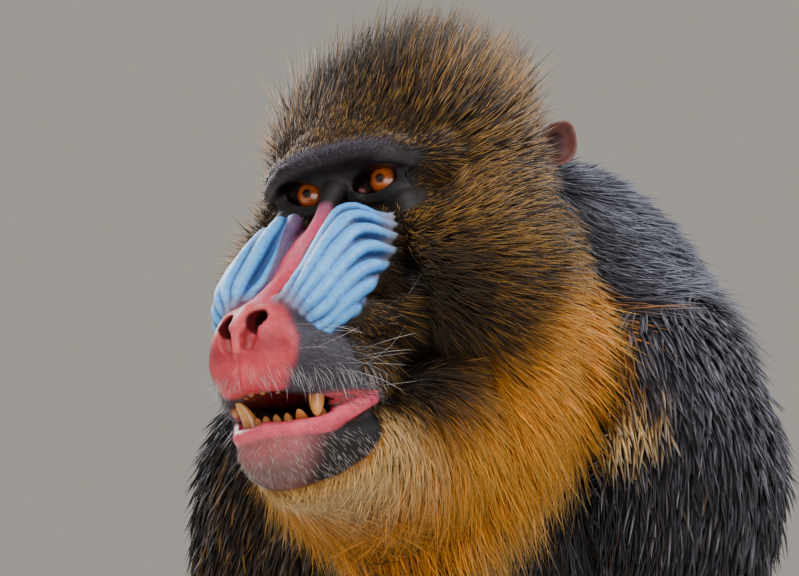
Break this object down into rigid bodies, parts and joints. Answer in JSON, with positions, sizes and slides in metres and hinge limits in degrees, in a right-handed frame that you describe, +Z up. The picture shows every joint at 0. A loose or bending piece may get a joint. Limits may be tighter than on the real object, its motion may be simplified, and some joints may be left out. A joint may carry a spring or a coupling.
{
  "type": "mandrill figure",
  "caption": "Life-size still figure of an adult male mandrill sitting on its rump with both hands on the ground, head turned, mouth slightly open, ridged muzzle, crest, beard and mane.",
  "frame": {"origin": "the ground under the middle of the bounding box, z = 0 where rump, hands and feet rest", "axes": "+Z up; the animal faces -Y; its own left side is +X"},
  "size_m": [0.6018, 0.6322, 0.7086],
  "materials": {
    "coat_brown": "soft dark brown hair ticked with gold",
    "coat_grey": "soft dark grey hair with paler tips",
    "beard_gold": "golden yellow hair",
    "muzzle_skin": "satin ridged blue and red skin",
    "dark_skin": "matt wrinkled dark skin",
    "ear_skin": "matt reddish brown skin",
    "eye_amber": "glossy wet amber eye",
    "tooth_ivory": "glossy yellowed tooth enamel"
  },
  "bodies": {
    "root": {"head": "coat_brown", "muzzle": "muzzle_skin", "jaw": "beard_gold", "ear_L": "ear_skin", "ear_R": "ear_skin", "eye_L": "eye_amber", "eye_R": "eye_amber", "neck": "coat_grey", "chest": "coat_grey", "belly": "coat_grey", "pelvis": "coat_grey", "tail": "coat_grey", "upper_arm_L": "coat_grey", "upper_arm_R": "coat_grey", "forearm_L": "coat_grey", "forearm_R": "coat_grey", "hand_L": "dark_skin", "hand_R": "dark_skin", "thigh_L": "coat_grey", "thigh_R": "coat_grey", "shin_L": "coat_grey", "shin_R": "coat_grey", "foot_L": "dark_skin", "foot_R": "dark_skin"}
  },
  "joints": []
}
